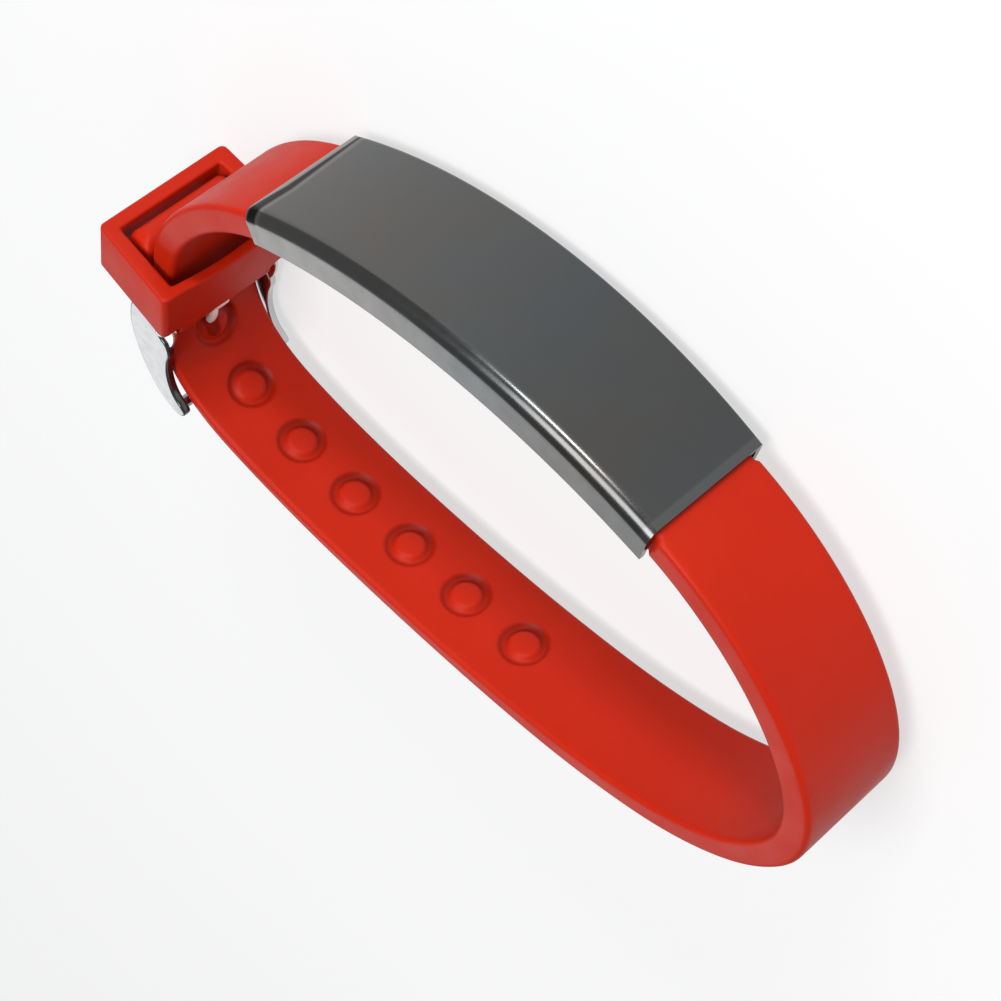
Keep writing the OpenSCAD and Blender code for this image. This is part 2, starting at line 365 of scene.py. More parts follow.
# %% Rings
border = np.linspace(-PATCH, PATCH, PATCH_STEPS + 1)[:-1]
full = np.full(PATCH_STEPS, PATCH)
SQUARE = np.stack(
    [np.r_[border, full, -border, -full], np.r_[-full, border, full, -border]], 1
)
ANGLE = np.arctan2(SQUARE[:, 1], SQUARE[:, 0])
CIRCLE = np.stack([np.cos(ANGLE), np.sin(ANGLE)], 1)
# radius mm, depth mm
GROOVE_IN = np.array([[2.62, 0], [2.53, 0.01], [2.44, 0.04], [2.35, 0.095], [2.26, 0.17],
                      [2.16, 0.26], [2.05, 0.33], [1.94, 0.375]])  # fmt: skip
BOSS = np.array([[1.8, 0.38], [1.7, 0.345], [1.6, 0.28], [1.5, 0.2], [1.4, 0.12],
                 [1.28, 0.05], [1.12, 0.005], [0.95, -0.02], [0.75, -0.035], [0.5, -0.045],
                 [0.25, -0.05], [0, -0.05]])  # fmt: skip


def ring_rows(profile):
    """Each (radius, depth) of the profile becomes a circle of 96 places (ds, z, depth)."""
    r, d = profile[:, 0, None, None], profile[:, 1, None]
    flat = r * CIRCLE
    return np.concatenate([flat, np.broadcast_to(d[..., None], flat.shape[:2] + (1,))], -1)


def pressed_in(s, places):
    """Puts (ds, z, depth) places on the wrist face at s."""
    at = s + places[..., 0]
    return on_band(at, places[..., 2] - thickness(at) / 2, places[..., 1])


rim = np.concatenate([SQUARE, np.zeros((len(SQUARE), 1))], 1)[None]
ring = np.concatenate([rim, ring_rows(GROOVE_IN), ring_rows(BOSS)])
ring_faces = quads(len(ring), len(SQUARE), close_cols=True)
patches = [(pressed_in(s, ring), ring_faces) for s in RINGS]
band = make_piece("silicone_band", [strap, lathe_end(START, -1), lathe_end(TIP, 1), *patches])
report(band)

# %% [markdown]
# ### The rolled end
#
# The strap's short end is rolled round the spring bar, with a hole along the roll and a
# notch in its middle for the tongue. The roll is a lathe shape, so it is joined and then
# drilled and notched with boolean cuts. One more cut opens the fastened ring into the slot
# that the tongue goes through.

# %% Rolled end


def turned(profile, centre, steps=64):
    """Turns (radius, z) rows about an upright line through centre: x = r cos t,
    y = r sin t. The profile runs upward, and the faces point away from the line."""
    profile = np.asarray(profile, float)
    t = np.linspace(0, 2 * np.pi, steps, endpoint=False)
    r, up = profile[:, :1], profile[:, 1:]
    x, y = centre[0] + r * np.cos(t), centre[1] + r * np.sin(t)
    sheet = np.stack([x, y, np.broadcast_to(up, x.shape)], -1)
    return sheet + PLACE, quads(len(profile), steps, close_cols=True)


def rounded_rod(radius, low, high, soft):
    """Profile of a rod with rounded ends: a quarter circle of radius soft at each."""
    t = np.linspace(0, np.pi / 2, 7)
    foot = np.stack([radius - soft + soft * np.sin(t), low + soft - soft * np.cos(t)], 1)
    head = np.stack([radius - soft + soft * np.cos(t), high - soft + soft * np.sin(t)], 1)
    return np.concatenate([[[0, low]], foot, head, [[0, high]]])


TONGUE_Z = 0.4  # the tongue sits this far off the middle of the width
roll = make_piece("roll", [turned(rounded_rod(1.2, -5.5, 5.5, 0.4), BAR)])
combine(band, roll, "UNION")
combine(band, make_piece("hole", [turned(rounded_rod(0.7, -7, 7, 0.2), BAR)]), "DIFFERENCE")
notch = rounded_rod(2.1, TONGUE_Z - 1.05, TONGUE_Z + 1.05, 0.15)
combine(band, make_piece("notch", [turned(notch, BAR)]), "DIFFERENCE")


# %% Slot for the tongue
SLOT_S, SLOT_SHIFT, SLOT_R = 139.5, 1.0, 0.78


def slot_tool():
    """A long round-ended prism through the band: a circle of radius R whose halves are
    moved apart. A flare at the outer face leaves a soft rim, and each end closes on a
    point."""
    t = np.linspace(0, 2 * np.pi, 64, endpoint=False)
    # share of the outline, out mm: from the wrist side outward
    rows_of_slot = np.array(
        [[0, -3], [1, -3], [1, 0.9], [1.06, 1.0], [1.25, 1.1], [1.25, 3], [0, 3]]
    )
    share, level = rows_of_slot[:, :1], rows_of_slot[:, 1:]
    along = share * (SLOT_R * np.cos(t) + SLOT_SHIFT * np.sign(np.round(np.cos(t), 9)))
    across = TONGUE_Z + share * SLOT_R * np.sin(t)
    a = np.interp(SLOT_S, fine, heading)
    sheet = on_band(SLOT_S, level + 0 * along, across)
    sheet = sheet + along[..., None] * np.array([-np.cos(a), np.sin(a), 0])
    return sheet, quads(len(share), len(t), close_cols=True)


combine(band, make_piece("slot", [slot_tool()]), "DIFFERENCE")
band.data.set_sharp_from_angle(angle=math.radians(40))
report(band)
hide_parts("band")
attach(band, "root")

# %% [markdown]
# ## The keeper loop
#
# The keeper is a small moulded frame that slides on the strap and holds the tail. Two
# closed outlines with the same number of points, one outside and one inside, are blended
# by a rounded section that goes round the wall, so the whole loop is one closed sheet.

# %% Keeper loop
KEEPER_AT = np.array([16.03, 20.6])
KEEPER_LEAN = math.radians(11)
KEEPER_DEPTH = 6.0


def rounded_corners(corners, r, corner_steps=8, side_steps=14):
    """Closed outline whose corners are rounded to radius r. A corner with the angle w
    between its sides starts to turn r / tan(w / 2) before it and has its centre
    r / sin(w / 2) away, on the line that halves the angle."""
    spots = []
    for k in range(len(corners)):
        p, a, b = corners[k], corners[k - 1], corners[(k + 1) % len(corners)]
        to_a, to_b = (a - p) / np.linalg.norm(a - p), (b - p) / np.linalg.norm(b - p)
        half_angle = math.acos(np.dot(to_a, to_b)) / 2
        centre = p + (to_a + to_b) / np.linalg.norm(to_a + to_b) * r / math.sin(half_angle)
        first = p + to_a * r / math.tan(half_angle) - centre
        turn = (np.pi - 2 * half_angle) * np.linspace(0, 1, corner_steps + 1)[:, None]
        spots.append(centre + first * np.cos(turn) + [-first[1], first[0]] * np.sin(turn))
    closed = []
    for k in range(len(corners)):
        line = np.linspace(spots[k][-1], spots[(k + 1) % len(corners)][0], side_steps + 1)
        closed += [spots[k], line[1:-1]]
    return np.concatenate(closed)


def four_sides(low, high, foot, head, slant):
    """Corners of the loop: u from low to high, z from foot to head, and the upper end is
    higher by slant on the low side."""
    return np.array([[high, head], [low, head + slant], [low, foot], [high, foot]])


def rim_section(depth, wall, soft):
    """Closed section of the wall as (share of the way inward, place along the depth)."""
    t = np.linspace(0, np.pi / 2, 6)
    near, far = soft / wall, 1 - soft / wall
    level = depth / 2 - soft
    inward = np.r_[near * (1 - np.cos(t)), far + near * np.sin(t)]
    place = np.r_[level + soft * np.sin(t), level + soft * np.cos(t)]
    return np.r_[inward, inward[::-1]], np.r_[place, -place[::-1]]


outer = rounded_corners(four_sides(-5.0, 5.0, -7.4, 7.1, 0.9), 0.6)
inner = rounded_corners(four_sides(-3.95, 3.55, -5.8, 5.8, 0.45), 0.32)
inward, deep = rim_section(KEEPER_DEPTH, 1.3, 0.26)
flat = outer[:, None] + (inner - outer)[:, None] * inward[None, :, None]
bow = 0.45 * np.clip(1 - (flat[..., 1] / 5.8) ** 2, 0, 1)
flat[..., 0] -= np.where(flat[..., 0] < 0, bow, 0)
c, s = math.cos(KEEPER_LEAN), math.sin(KEEPER_LEAN)
u, v = flat[..., 0], np.broadcast_to(deep, flat.shape[:2])
keeper_sheet = (
    np.stack([KEEPER_AT[0] + u * c + v * s, KEEPER_AT[1] - u * s + v * c, flat[..., 1]], -1)
    + PLACE
)
keeper = make_piece(
    "keeper_loop_silicone",
    [(keeper_sheet, quads(len(outer), len(inward), True, True))],
)
report(keeper)
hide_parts("keeper_loop")
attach(keeper, "root")

# %% [markdown]
# ## The plate
#
# The plate is pressed from dark sheet: a long shallow curve, its sides folded down over
# the band, with a rounded fold and a soft bevel at each end. Its section, worked out in
# distances from the centre that the end cuts aim at, is carried round that centre.

# %% Plate measures
FOLD_CENTRE = np.array([-PLATE_LENGTH / 2, 55.7])
FOLD_RADIUS = math.hypot(PLATE_LENGTH / 2, 55.7) - 3.5
END_ANGLE = math.atan(PLATE_LENGTH / 2 / 55.7)
RISE, WALL = 4.7, 0.5
FOOT = 0.12  # rounding at the foot of the folded sides
MM_PER_RADIAN = 59.0  # along the plate, for each radian of its bend


def arc_reach(angle, rise, lift):
    """Distance from the fold centre to an arc through both ends, raised by lift: the arc
    has radius (half length squared + rise squared) / (2 rise)."""
    radius = ((PLATE_LENGTH / 2) ** 2 + rise**2) / (2 * rise)
    below = FOLD_CENTRE[1] - (radius - rise + lift)
    return below * np.cos(angle) + np.sqrt(radius**2 - (below * np.sin(angle)) ** 2)


def foot_reach(angle):
    """Distance from the fold centre to the foot of the folded sides, a circle whose own
    centre is 0.5 mm nearer the buckle end, so the sides grow deeper toward the tail."""
    side = 0.5 * np.sin(angle)
    return side + np.sqrt(FOLD_RADIUS**2 - 0.25 + side**2)


def plate_half(angle):
    """Half the plate's width: 6.15 mm at the ends and 0.35 mm more in the middle."""
    x = np.sin(angle) / math.sin(END_ANGLE)
    return 6.15 + 0.35 * (1 - x**2)


# %% Plate skin
SIDE_STEPS, FOLD_STEPS, TOP_STEPS = 8, 14, 48
NEAR_END = np.radians(3.0)
ease = NEAR_END * (1 - np.cos(np.linspace(0, np.pi / 2, 31)))
bend = np.concatenate(
    [
        -END_ANGLE + ease[:-1],
        np.linspace(-END_ANGLE + NEAR_END, END_ANGLE - NEAR_END, 101),
        END_ANGLE - ease[::-1][1:],
    ]
)


def half_path(angle, sign):
    """Outer path from the foot of one side to the middle line, as (reach, z). The fold is a
    quarter circle, wider on the side that sign +1 means (the near one)."""
    a = angle[:, None]
    top, half = arc_reach(a, RISE, 0.0), plate_half(a)
    wide = 1.2 if sign > 0 else 0.45
    left = (END_ANGLE - np.abs(a)) * MM_PER_RADIAN
    past = np.clip(1 - left / 0.8, 0, 1)
    bevel = 0.12 * (1 - np.sqrt(1 - past**2))
    t = np.linspace(0, np.pi / 2, FOLD_STEPS + 1)
    foot = foot_reach(a) + FOOT
    side = foot + (top - wide - foot) * np.linspace(0, 1, SIDE_STEPS + 1)[:-1]
    across = np.linspace(1, 0, TOP_STEPS // 2 + 1)[1:]
    drop = wide * (1 - np.sin(t))
    level = np.broadcast_to(top - bevel, (len(a), len(across)))
    reach = np.concatenate([side, top - np.maximum(drop, bevel), level], 1)
    upright = np.broadcast_to(half, side.shape)
    round_z = half - wide + wide * np.cos(t)
    z = np.concatenate([upright, round_z, (half - wide) * across], 1)
    return reach, sign * z


def plate_outside(angle):
    """Both half paths joined at the middle line."""
    near, far = half_path(angle, 1), half_path(angle, -1)
    return tuple(np.concatenate([n, f[:, -2::-1]], 1) for n, f in zip(near, far, strict=True))


def plate_inside(angle):
    """Inner path with the same number of points, 0.6 mm in from the side at the ends."""
    a = angle[:, None]
    top = arc_reach(a, RISE - 0.6, WALL)
    t = np.linspace(0, np.pi / 2, FOLD_STEPS + 1)
    foot = foot_reach(a) + FOOT
    side = foot + (top - 0.25 - foot) * np.linspace(0, 1, SIDE_STEPS + 1)[:-1]
    across = np.linspace(1, 0, TOP_STEPS // 2 + 1)[1:]
    reach = np.concatenate(
        [side, top - 0.25 * (1 - np.sin(t)), np.broadcast_to(top, (len(a), len(across)))], 1)
    z = np.r_[np.full(SIDE_STEPS, 5.55), 5.3 + 0.25 * np.cos(t), 5.3 * across]
    z = np.broadcast_to(z, (len(a), len(z)))
    return np.concatenate([reach, reach[:, -2::-1]], 1), np.concatenate([z, -z[:, -2::-1]], 1)


def from_fold_centre(angle, reach, z):
    """x = centre + reach sin(angle), y = centre - reach cos(angle). Close to the tail end,
    places below the top slide toward the tail, so that the end cut stands steeper."""
    deep = arc_reach(angle, RISE, 0.0) - reach
    close = np.clip(1 - (END_ANGLE + angle) * MM_PER_RADIAN / 6.0, 0, 1)
    slide = 0.16 * deep * close**2 * (3 - 2 * close)
    x = FOLD_CENTRE[0] + reach * np.sin(angle) - slide * math.cos(END_ANGLE)
    y = FOLD_CENTRE[1] - reach * np.cos(angle) + slide * math.sin(END_ANGLE)
    return np.stack(np.broadcast_arrays(x, y, z), -1) + PLACE


o_reach, o_z = plate_outside(bend)
i_reach, i_z = plate_inside(bend)
foot_z = np.concatenate([o_z[:, :1] - FOOT, i_z[:, :1] + FOOT], 1)
foot_z = np.concatenate([foot_z, o_z[:, -1:] + FOOT, i_z[:, -1:] - FOOT], 1)
foot_r = np.repeat(foot_reach(bend)[:, None], 2, 1)
loop_reach = np.concatenate([o_reach, foot_r, i_reach[:, ::-1], foot_r], 1)
loop_z = np.concatenate([o_z, foot_z[:, 2:], i_z[:, ::-1], foot_z[:, 1::-1]], 1)
plate_sheet = from_fold_centre(bend[:, None], loop_reach, loop_z)


def plate_end(row, flip):
    """Flat end face: bridges the outer path to the inner one at an end."""
    r = foot_r[row, :1]
    reach = np.stack([np.r_[r, o_reach[row], r], np.r_[r, i_reach[row], r]])
    z = np.stack([np.r_[foot_z[row, 0], o_z[row], foot_z[row, 2]],
                  np.r_[foot_z[row, 1], i_z[row], foot_z[row, 3]]])  # fmt: skip
    face = quads(2, reach.shape[1])
    return from_fold_centre(bend[row], reach, z), face[..., ::-1] if flip else face


plate = make_piece(
    "plate_dark",
    [
        (plate_sheet, quads(len(bend), loop_z.shape[1], close_cols=True)),
        plate_end(0, True),
        plate_end(-1, False),
    ],
    sharp=32.0,
)
report(plate)
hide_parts("plate")
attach(plate, "root")

# %% [markdown]
# ### Painted reflections and shade on the plate
#
# The plate is one plated sheet, but its fold and its end bevels mirror darker and lighter
# parts of the room than its face does, and its face grows darker toward the tail end. Lamps
# that draw such narrow borders are hard to place, so one number per point, kept as an
# attribute, paints them into the colour instead. At the buckle end it paints a pale rim, a
# dark band and a pale band after it. At the tail end it paints a pale rim, and it paints
# shade that grows toward the tail end. It tells the finish how much lighter or darker to be,
# by the distance from an end or from the fold.


# %% Plate tone: painted reflections and shade
def smooth_step(x, low, high):
    """0 below low, 1 above high, and 3t^2 - 2t^3 between."""
    t = np.clip((x - low) / (high - low), 0, 1)
    return t * t * (3 - 2 * t)


def band_of(x, low, high, soft):
    """1 between low and high, 0 outside, with soft borders."""
    risen = smooth_step(x, low - soft, low + soft)
    return risen * (1 - smooth_step(x, high - soft, high + soft))


def paint(piece, values):
    """Keeps one number per point as the tone attribute: painted light and shade that scales a
    finish's colour.
    """
    shade = piece.data.attributes.new("tone", "FLOAT", "POINT")
    shade.data.foreach_set("value", np.broadcast_to(values, len(piece.data.vertices)))


def spots_of(piece):
    """Points of a piece in mm, in the drawing's own frame."""
    spots = np.zeros(len(piece.data.vertices) * 3)
    piece.data.vertices.foreach_get("co", spots)
    return spots.reshape(-1, 3) / MM - PLACE


spot = spots_of(plate)
from_centre = spot[:, :2] - FOLD_CENTRE
angle = np.arctan2(from_centre[:, 0], -from_centre[:, 1])
reach = np.hypot(from_centre[:, 0], from_centre[:, 1])
below = arc_reach(angle, RISE, 0.0) - reach
to_buckle_end = (END_ANGLE - angle) * MM_PER_RADIAN
to_tail_end = (END_ANGLE + angle) * MM_PER_RADIAN
on_top = 1 - smooth_step(below, 0.9, 1.3)
across = np.clip((plate_half(angle) + spot[:, 2]) / 12.3, 0, 1)  # 0 far side, 1 near side
# Widths of the painted pale rim and the painted dark band at the buckle end; they change across
# the plate.
painted_pale_strip = 0.12 + 0.62 * np.clip((1 - across) * 3.0, 0, 1)
painted_dark_band_end = painted_pale_strip + np.interp(across, [0, 0.6, 1], [0.22, 0.75, 1.15])
# Painted shade darkens the plate toward the tail end, and the painted rims and bands at the
# ends go on top.
tone = 1.12 - 0.42 * smooth_step(-spot[:, 0], 4.0, 42.0)
tone *= 1 + 1.2 * band_of(to_buckle_end, -1, painted_pale_strip, 0.09) * on_top
tone *= 1 - 0.86 * band_of(to_buckle_end, painted_pale_strip, painted_dark_band_end, 0.12) * on_top
tone *= 1 + 0.5 * band_of(to_buckle_end, painted_dark_band_end, painted_dark_band_end + 0.5, 0.2) * on_top
tone *= 1 + 0.35 * band_of(to_tail_end, -1, 0.75, 0.12) * on_top
paint(plate, tone)
print("tone from", round(tone.min(), 2), "to", round(tone.max(), 2))

# %% [markdown]
# ## The buckle
#
# The frame is a small polished casting: two flat arms that curve from the bar out to a
# round cross bar. An arm is its outline, carried through the thickness with a rounded
# edge. The outline is a smooth curve through a few corner points.

# %% Arms and cross bar
ARM = np.array(
    [[13.6, 28.2], [14.4, 27.4], [15.0, 26.0], [15.9, 25.0], [17.2, 24.8], [18.2, 25.8],
     [18.7, 27.9], [18.7, 30.0], [18.4, 31.5], [17.9, 33.4], [17.0, 35.3], [15.9, 36.7],
     [14.8, 37.5], [13.7, 37.9], [12.8, 37.7], [12.4, 37.0], [12.8, 36.4], [13.4, 35.85],
     [13.9, 35.0], [14.2, 33.7], [14.2, 32.2], [13.9, 30.7], [13.45, 29.4]]
)  # fmt: skip
LUG = np.array(
    [[14.35, 24.85], [14.95, 25.8], [15.3, 27.2], [15.0, 28.6], [14.0, 29.0], [13.25, 28.2],
     [12.8, 27.3], [12.55, 26.5], [12.5, 25.7], [12.8, 24.95], [13.5, 24.65]]
)  # fmt: skip
CROSS_AT = (13.6, 37.1)
ARM_T, ARM_GAP, LUG_LOW, LUG_HIGH = 0.85, 0.25, 0.1, 0.6


def smooth_loop(corners, steps):
    """Closed Catmull-Rom curve: between two corners the blend uses their neighbours too."""
    p0, p1, p2, p3 = (np.roll(corners, k, axis=0)[:, None] for k in (1, 0, -1, -2))
    u = np.linspace(0, 1, steps, endpoint=False)[None, :, None]
    curve = 0.5 * (
        2 * p1 + (p2 - p0) * u + (2 * p0 - 5 * p1 + 4 * p2 - p3) * u**2
        + (3 * p1 - p0 - 3 * p2 + p3) * u**3
    )  # fmt: skip
    return curve.reshape(-1, 2)


def pillow(outline, low, high, soft, rings=7):
    """Solid between z = low and high with an outline and rounded edges. Each row is the
    outline moved inward by a quarter circle of radius soft."""
    ahead = np.roll(outline, -1, axis=0) - np.roll(outline, 1, axis=0)
    inward = np.stack([-ahead[:, 1], ahead[:, 0]], 1)
    inward /= np.linalg.norm(inward, axis=1, keepdims=True)
    t = np.linspace(0, np.pi / 2, rings)
    inset = np.r_[soft * (1 - np.sin(t)), soft * (1 - np.cos(t))]
    level = np.r_[low + soft * (1 - np.cos(t)), high - soft * (1 - np.sin(t))]
    flat = outline + inward * inset[:, None, None]
    return np.concatenate(
        [flat, np.broadcast_to(level[:, None, None], flat.shape[:2] + (1,))], -1
    )


def capped(name, rows_of_points):
    """Closes the first and last row of a pillow with one flat face each. The border of each
    flat face is kept crisp, so that it shades flat right up to the rounded edge."""
    n_rows, n = rows_of_points.shape[:2]
    mesh = bpy.data.meshes.new(name)
    side = quads(n_rows, n, close_cols=True).reshape(-1, 4)
    ends = [list(range(n))[::-1], list(range((n_rows - 1) * n, n_rows * n))]
    spots = (rows_of_points.reshape(-1, 3) + PLACE) * MM
    mesh.from_pydata(spots.tolist(), [], side.tolist() + ends)
    mesh.shade_smooth()
    pairs = np.zeros(len(mesh.edges) * 2, np.int64)
    mesh.edges.foreach_get("vertices", pairs)
    row = pairs.reshape(-1, 2) // n
    crisp = (row[:, 0] == row[:, 1]) & ((row[:, 0] == 0) | (row[:, 0] == n_rows - 1))
    mark = mesh.attributes.new("sharp_edge", "BOOLEAN", "EDGE")
    mark.data.foreach_set("value", crisp)
    piece = bpy.data.objects.new(name, mesh)
    bpy.context.scene.collection.objects.link(piece)
    return piece


inner_z = HALF_WIDTH + ARM_GAP
arm_line, lug_line = smooth_loop(ARM, 10), smooth_loop(LUG, 8)
ARM_RINGS = 7
arms, lugs = [], []
for side, name in ((1, "near"), (-1, "far")):
    low, high = sorted((side * inner_z, side * (inner_z + ARM_T)))
    arms.append(capped(f"arm_{name}", pillow(arm_line, low, high, 0.2, ARM_RINGS)))
    low, high = sorted((side * (inner_z + LUG_LOW), side * (inner_z + LUG_HIGH)))
    lug = capped(f"lug_{name}", pillow(lug_line, low, high, 0.16))
    eye = make_piece("eye", [turned(rounded_rod(0.7, side * 6 - 2, side * 6 + 2, 0.1), BAR)])
    combine(lug, eye, "DIFFERENCE")
    lug.data.set_sharp_from_angle(angle=math.radians(40))
    lugs.append(lug)
cross_bar = make_piece(
    "cross_bar", [turned(rounded_rod(0.6, -inner_z - 0.3, inner_z + 0.3, 0.2), CROSS_AT, 48)]
)
for piece in (*arms, *lugs, cross_bar):
    report(piece)
    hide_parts("buckle_frame")
    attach(piece, "root")

# %% [markdown]
# ### Tongue and spring bar
#
# The tongue is a round wire, curled once round the spring bar and bent out through the
# slot to rest over the cross bar. Its shank is a tube along a smooth path.

# %% Tongue
TONGUE = np.array(
    [[14.1, 26.8], [14.15, 27.9], [14.3, 28.9], [14.75, 29.95], [15.5, 30.85], [16.4, 31.6],
     [17.1, 32.6], [17.3, 33.9], [16.9, 35.3], [16.1, 36.6], [15.3, 37.55], [14.6, 38.15]]
)  # fmt: skip


def smooth_path(corners, count):
    """Open curve through the corners, evenly spaced: cubic blends, then equal steps."""
    before, after = 2 * corners[:1] - corners[1:2], 2 * corners[-1:] - corners[-2:-1]
    wide = np.concatenate([before, corners, after])
    p0, p1, p2, p3 = (wide[k : len(wide) - 3 + k][:, None] for k in range(4))
    u = np.linspace(0, 1, 20, endpoint=False)[None, :, None]
    curve = 0.5 * (
        2 * p1 + (p2 - p0) * u + (2 * p0 - 5 * p1 + 4 * p2 - p3) * u**2
        + (3 * p1 - p0 - 3 * p2 + p3) * u**3
    )  # fmt: skip
    curve = np.concatenate([curve.reshape(-1, 2), corners[-1:]])
    far = np.r_[0, np.cumsum(np.linalg.norm(np.diff(curve, axis=0), axis=1))]
    even = np.linspace(0, far[-1], count)
    return np.stack([np.interp(even, far, curve[:, 0]), np.interp(even, far, curve[:, 1])], 1)


def wire(path, radius, sides=24):
    """Tube along a level path: each ring is radius cos t sideways and radius sin t up. The
    radius shrinks over the last rings to close both ends."""
    ahead = np.gradient(path, axis=0)
    ahead /= np.linalg.norm(ahead, axis=1, keepdims=True)
    sideways = np.stack([-ahead[:, 1], ahead[:, 0]], 1)
    t = np.linspace(0, 2 * np.pi, sides, endpoint=False)
    r = radius[:, None]
    flat = path[:, None] + sideways[:, None] * (r * np.cos(t))[..., None]
    up = TONGUE_Z + r * np.sin(t)
    tube = np.concatenate([flat, up[..., None]], -1) + PLACE
    return tube, quads(len(path), sides, close_cols=True)


TONGUE_ROWS = 70
tongue_path = smooth_path(TONGUE, TONGUE_ROWS)
along = np.linspace(0, 1, TONGUE_ROWS)
taper = np.interp(along, [0, 0.6, 1], [0.45, 0.44, 0.36])
taper *= np.sqrt(np.clip(1 - np.clip((along - 0.965) / 0.035, 0, 1) ** 2, 0, 1))
taper *= np.sqrt(np.clip(1 - np.clip((0.02 - along) / 0.02, 0, 1) ** 2, 0, 1))
shank = make_piece("buckle_tongue_wire", [wire(tongue_path, taper)])


def ring_section(low_r, high_r, half, soft):
    """Closed (radius, z) section of a ring with rounded corners."""
    spots = rounded_corners(four_sides(low_r, high_r, -half, half, 0), soft, 5, 4)
    return spots + np.array([0, TONGUE_Z])


def turned_ring(section_line, centre, steps=64):
    """Turns a closed (radius, z) section about an upright line, as a lathe does."""
    sheet, _ = turned(section_line, centre, steps)
    return sheet, quads(len(section_line), steps, True, True)


curl = make_piece("curl", [turned_ring(ring_section(0.75, 1.37, 0.69, 0.22), BAR)])
combine(shank, curl, "UNION")
report(shank)
shank.data.set_sharp_from_angle(angle=math.radians(40))
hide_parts("buckle_tongue")
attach(shank, "root")

# %% Spring bar
END_Z = inner_z + LUG_HIGH + 0.13
dome = np.linspace(0, np.pi / 2, 10)
dome_out = np.stack([0.75 * np.cos(dome), END_Z + 0.08 + 0.7 * np.sin(dome)], 1)
head = np.concatenate([[[0.5, END_Z - 0.1], [0.5, END_Z], [0.7, END_Z + 0.01]], dome_out])
bar_line = np.concatenate([head[::-1] * [1, -1], head])
spring_bar = make_piece("spring_bar_steel", [turned(bar_line, BAR, 48)])
report(spring_bar)
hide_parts("spring_bar")
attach(spring_bar, "root")

# %% [markdown]
# ## Finishes
#
# Silicone is smooth but never glassy: a fine mould grain breaks up its gloss, its red
# drifts a little, and some light goes into it and comes out pinker. The plate is steel
# with a dark plating and the buckle is the same steel, polished.

# %% Material helpers


def new_finish(name):
    """An empty finish: its nodes, links, shader and the object coordinates, in metres."""
    finish = bpy.data.materials.new(name)
    finish.use_nodes = True
    nodes, links = finish.node_tree.nodes, finish.node_tree.links
    shader = nodes["Principled BSDF"]
    place = nodes.new("ShaderNodeTexCoord")
    return finish, nodes, links, shader, place.outputs["Object"]


def noise(nodes, links, place, scale, detail=4.0):
    """Noise over object coordinates; the scale is in features per metre."""
    n = nodes.new("ShaderNodeTexNoise")
    n.inputs["Scale"].default_value = scale
    n.inputs["Detail"].default_value = detail
    n.inputs["Roughness"].default_value = 0.55
    links.new(place, n.inputs["Vector"])
    return n.outputs["Fac"]


def ramp(nodes, links, value, stops):
    """Colour ramp: stops are (position, colour)."""
    r = nodes.new("ShaderNodeValToRGB")
    while len(r.color_ramp.elements) < len(stops):
        r.color_ramp.elements.new(0.5)
    for element, (at, colour) in zip(r.color_ramp.elements, stops, strict=True):
        element.position = at
        element.color = (*colour, 1.0)
    links.new(value, r.inputs["Fac"])
    return r.outputs["Color"]


def grain(nodes, links, place, shader, layers):
    """Stacks bump layers: each is (scale, strength, distance in metres)."""
    normal = None
    for scale, strength, distance in layers:
        b = nodes.new("ShaderNodeBump")
        b.inputs["Strength"].default_value = strength
        b.inputs["Distance"].default_value = distance
        links.new(noise(nodes, links, place, scale), b.inputs["Height"])
        if normal:
            links.new(normal, b.inputs["Normal"])
        normal = b.outputs["Normal"]
    links.new(normal, shader.inputs["Normal"])


def grey_range(nodes, links, value, low, high):
    """Moves a 0 to 1 value into low to high."""
    m = nodes.new("ShaderNodeMapRange")
    m.inputs["From Min"].default_value, m.inputs["From Max"].default_value = 0.3, 0.7
    m.inputs["To Min"].default_value, m.inputs["To Max"].default_value = low, high
    links.new(value, m.inputs["Value"])
    return m.outputs["Result"]


def toned(nodes, links, colour, shader):
    """Scales a colour by the tone attribute, the painted light and shade, and gives it to the
    shader.
    """
    tone = nodes.new("ShaderNodeAttribute")
    tone.attribute_name = "tone"
    scaled = nodes.new("ShaderNodeVectorMath")
    scaled.operation = "SCALE"
    links.new(colour, scaled.inputs[0])
    links.new(tone.outputs["Fac"], scaled.inputs["Scale"])
    links.new(scaled.outputs["Vector"], shader.inputs["Base Color"])


def dress(pieces, finish):
    """Gives each piece the one finish."""
    for piece in pieces:
        piece.data.materials.clear()
        piece.data.materials.append(finish)


# %% [markdown]
# A groove gets less light than the face around it, most of all on the side that its own wall
# shades. One number per point paints that shade in: the grooves get painted shade, which
# depends on the distance from the ring's middle and on the side.

# %% Groove tone: painted shade
spots = spots_of(band)
painted_groove_shade = np.zeros(len(spots))
for s in RINGS:
    centre = on_band(s, -thickness(s) / 2, 0.0) - PLACE
    a = np.interp(s, fine, heading)
    ahead, out_way = np.array([-np.cos(a), np.sin(a), 0]), np.array([-np.sin(a), -np.cos(a), 0])
    away = spots - centre
    ds, dz, level = away @ ahead, away[:, 2], away @ out_way
    far = np.hypot(ds, dz)
    shaded_side = 0.5 + 0.5 * (0.5 * ds - 0.86 * dz) / np.maximum(far, 1e-6)
    groove = band_of(far, 1.5, 2.4, 0.3) * (np.abs(level) < 0.8)
    painted_groove_shade = np.maximum(painted_groove_shade, groove * (0.15 + 0.85 * shaded_side))
# Painted shade: the grooves are darkened by up to a half, most on the side their wall shades.
paint(band, 1 - 0.5 * painted_groove_shade)
paint(keeper, 1.0)
print("groove points", int((painted_groove_shade > 0.1).sum()))

